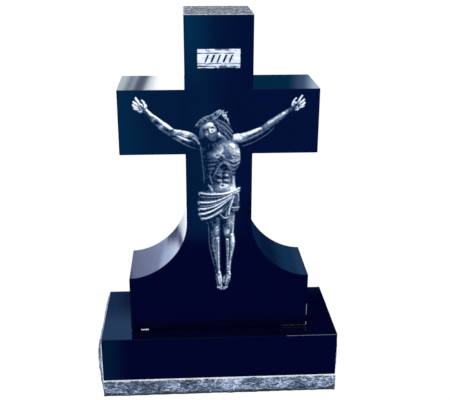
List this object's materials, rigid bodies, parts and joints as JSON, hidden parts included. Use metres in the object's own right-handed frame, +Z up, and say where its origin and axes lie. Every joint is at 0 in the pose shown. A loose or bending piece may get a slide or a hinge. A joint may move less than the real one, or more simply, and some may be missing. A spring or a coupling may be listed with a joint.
{
  "type": "cross headstone",
  "caption": "Standing cross of polished dark granite with a flared foot, set on a granite base stone with rock-pitched ends and lower strip.",
  "frame": {"origin": "middle of the base stone's underside", "axes": "+Z up, the cross's etched front faces -Y, +X to the viewer's right"},
  "size_m": [0.958, 0.438, 1.4576],
  "materials": {
    "base_granite": "polished",
    "cross_granite": "polished",
    "shim_plastic": "matte"
  },
  "bodies": {
    "root": {"base": "base_granite", "cross": "cross_granite", "shim_front_left": "shim_plastic", "shim_front_right": "shim_plastic", "shim_back_left": "shim_plastic", "shim_back_right": "shim_plastic"}
  },
  "joints": []
}
